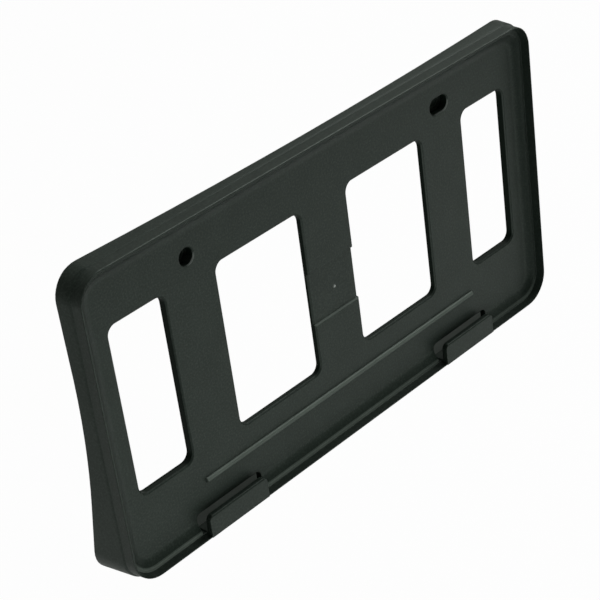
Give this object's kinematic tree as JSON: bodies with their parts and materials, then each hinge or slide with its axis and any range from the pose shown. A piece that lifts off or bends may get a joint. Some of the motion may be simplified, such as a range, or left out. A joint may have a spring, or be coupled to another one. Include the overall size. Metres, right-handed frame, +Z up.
{
  "type": "number plate holder",
  "caption": "Moulded plastic tray that fixes to a car bumper and holds a number plate by screws at the top and hooks at the lower edge, with open windows and a rear skirt",
  "frame": {"origin": "middle of the plate seat, on the plane that the plate's back faces", "axes": "+X to the right seen from the front, +Y to the bumper, +Z up; the plate faces -Y"},
  "size_m": [0.3168, 0.0273, 0.1669],
  "materials": {
    "moulded_plastic": "fine grain"
  },
  "bodies": {
    "root": {"plate_holder": "moulded_plastic"}
  },
  "joints": []
}
